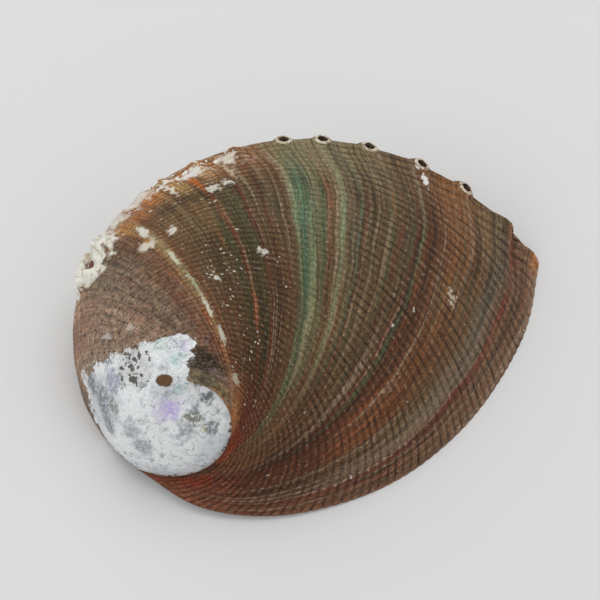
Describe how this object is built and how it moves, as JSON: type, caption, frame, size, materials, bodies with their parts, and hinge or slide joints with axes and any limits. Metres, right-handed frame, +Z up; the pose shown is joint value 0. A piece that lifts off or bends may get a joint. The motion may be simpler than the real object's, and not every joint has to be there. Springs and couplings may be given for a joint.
{
  "type": "abalone shell",
  "caption": "Domed ear-shaped sea shell with a worn pearly spire, a row of open breathing pores along its shoulder and a pearl-lined hollow underneath; rests mouth down on its rim.",
  "frame": {"origin": "middle of the shell's plan, on the surface it rests on", "axes": "+X along the length toward the growing tip, +Z up over the dome, -Y toward the growing margin and the spire"},
  "size_m": [0.1472, 0.121, 0.0542],
  "materials": {
    "shell": "satin"
  },
  "bodies": {
    "root": {"shell": "shell"}
  },
  "joints": []
}
